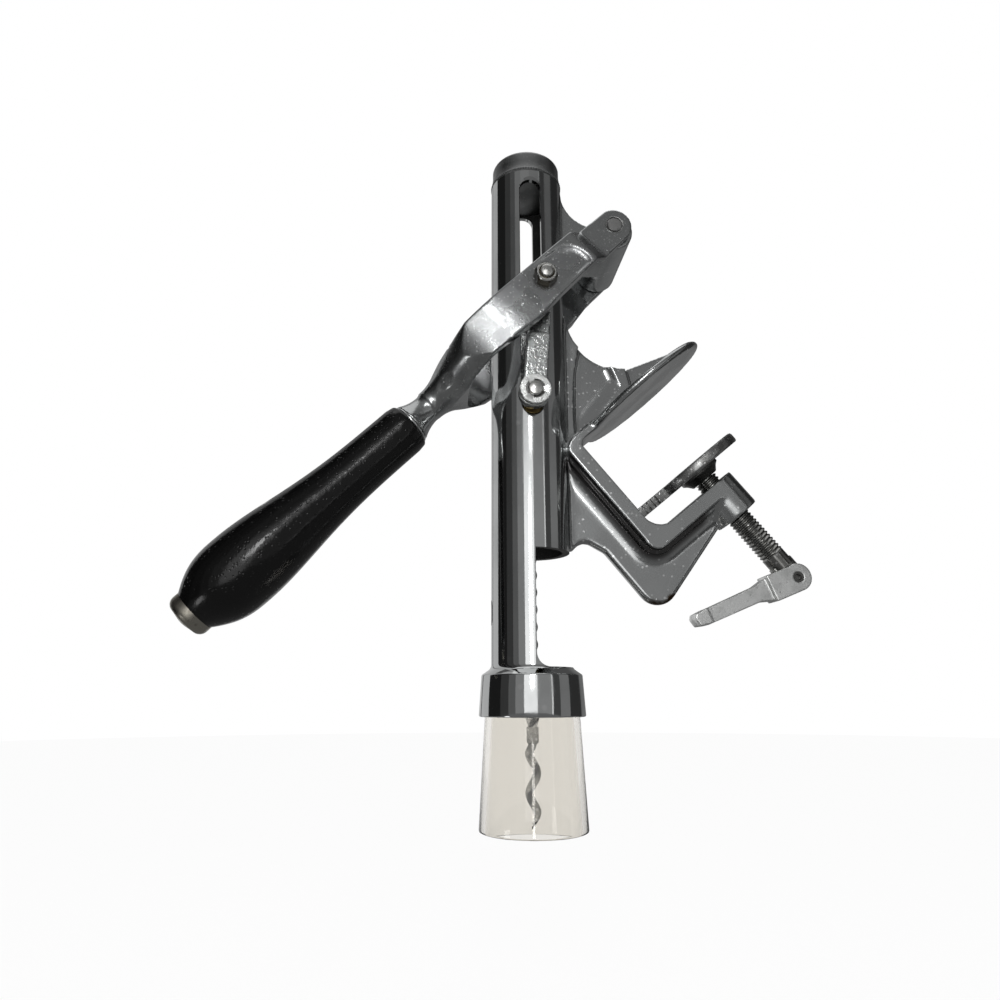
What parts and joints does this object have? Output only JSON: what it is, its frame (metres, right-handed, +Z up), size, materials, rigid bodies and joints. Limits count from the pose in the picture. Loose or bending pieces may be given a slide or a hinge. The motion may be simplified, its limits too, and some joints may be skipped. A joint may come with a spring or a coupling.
{
  "type": "counter mount corkscrew",
  "caption": "Lever corkscrew on an upright barrel with a screw clamp for a counter's edge, a wooden handle and a clear cup for the bottle's neck.",
  "frame": {"origin": "middle of the round upper jaw's underside, the face that lies on the counter", "axes": "+Z up along the barrel, +X towards the clamp, +Y away from the viewer of the picture"},
  "size_m": [0.2407, 0.065, 0.27],
  "materials": {
    "casting": "polished, with grainy cast flanks",
    "cap": "polished",
    "lever": "plated and worn, pitted",
    "handle": "gloss black lacquer",
    "steel": "satin",
    "bright_steel": "bright",
    "links": "hammered, darkened",
    "nut": "plain",
    "cup": "clear, faintly warm",
    "pad": "dark, worn"
  },
  "bodies": {
    "frame": {"barrel": "casting", "clamp_frame": "casting", "top_cap": "cap", "drive_nut": "nut", "nut_set_screw": "steel", "bottle_cup": "cup", "fulcrum_pin": "steel"},
    "lever": {"lever_fork": "lever", "handle_rod": "steel", "grip_ferrule": "bright_steel", "handle_grip": "handle", "end_cap": "bright_steel", "lever_studs": "steel", "stud_nuts": "steel"},
    "carriage": {"carriage": "steel", "cross_pin": "bright_steel", "link_spacers": "steel", "retaining_rings": "steel", "thrust_washer": "steel", "spindle_plug": "steel"},
    "links": {"link_front": "links", "link_rear": "links", "link_journals": "steel"},
    "spindle": {"spindle": "bright_steel", "worm": "bright_steel"},
    "clamp_pad": {"clamp_pad": "pad", "pad_socket": "pad"},
    "clamp_screw": {"clamp_screw": "steel"},
    "thumb_lever": {"thumb_lever": "lever", "thumb_pin": "steel"}
  },
  "joints": [
    {"name": "lever_swing", "type": "hinge", "parent": "frame", "child": "lever", "pos_m": [-0.01415, 0, 0.06564], "axis": [0, 1, 0], "range_deg": [0, 135]},
    {"name": "carriage_slide", "type": "slide", "parent": "frame", "child": "carriage", "axis": [0, 0, 1], "range_m": [0, 0.08704]},
    {"name": "link_swing", "type": "hinge", "parent": "carriage", "child": "links", "pos_m": [-0.04765, 0, -0.00753], "axis": [0, 1, 0], "range_deg": [0, 45.86]},
    {"name": "spindle_turn", "type": "hinge", "parent": "carriage", "child": "spindle", "pos_m": [-0.04765, 0, -0.00753], "axis": [0, 0, 1], "range_deg": [0, 2404.2]},
    {"name": "pad_slide", "type": "slide", "parent": "frame", "child": "clamp_pad", "axis": [-0.6361, 0, 0.7716], "range_m": [-0.0018, 0.0085]},
    {"name": "screw_turn", "type": "hinge", "parent": "clamp_pad", "child": "clamp_screw", "pos_m": [0.03969, 0, -0.05476], "axis": [-0.6361, 0, 0.7716], "range_deg": [-413.2, 1932.6]},
    {"name": "thumb_swing", "type": "hinge", "parent": "clamp_screw", "child": "thumb_lever", "pos_m": [0.05649, 0, -0.07513], "axis": [0, -1, 0], "range_deg": [0, 215]}
  ],
  "couplings": [
    {"joint": "carriage_slide", "follows": "lever_swing", "m_per_rad": 0.03677},
    {"joint": "link_swing", "follows": "lever_swing", "ratio": 0.33748},
    {"joint": "spindle_turn", "follows": "lever_swing", "ratio": 17.772},
    {"joint": "screw_turn", "follows": "pad_slide", "rad_per_m": 3957.9}
  ]
}
